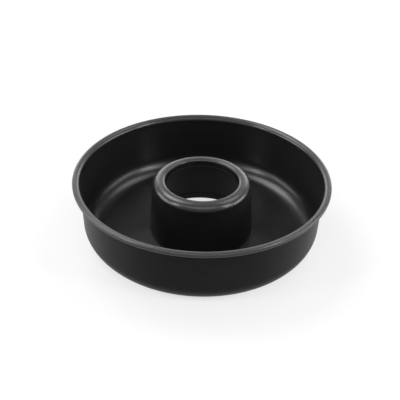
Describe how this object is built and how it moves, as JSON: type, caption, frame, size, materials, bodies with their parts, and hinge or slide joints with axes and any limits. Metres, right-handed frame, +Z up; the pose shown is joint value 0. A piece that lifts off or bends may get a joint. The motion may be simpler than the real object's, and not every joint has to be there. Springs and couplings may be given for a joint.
{
  "type": "savarin mould",
  "caption": "Ring-shaped baking pan of dark coated sheet steel: steep wall, rounded bottom corner, rolled and wired rim, open centre tube.",
  "frame": {"origin": "centre of the flat underside, on the mould's axis", "axes": "+Z up along the mould's axis, out of the open side; +X to the right and +Y away in the picture's view; the mould is the same all the way round"},
  "size_m": [0.26, 0.26, 0.0665],
  "materials": {
    "pan_coating": "satin black non-stick coating on sheet steel",
    "tube_coating": "satin black non-stick coating on sheet steel",
    "wire_steel": "drawn steel wire, bare"
  },
  "bodies": {
    "root": {"pan_shell": "pan_coating", "centre_tube": "tube_coating", "rim_wire": "wire_steel"}
  },
  "joints": []
}
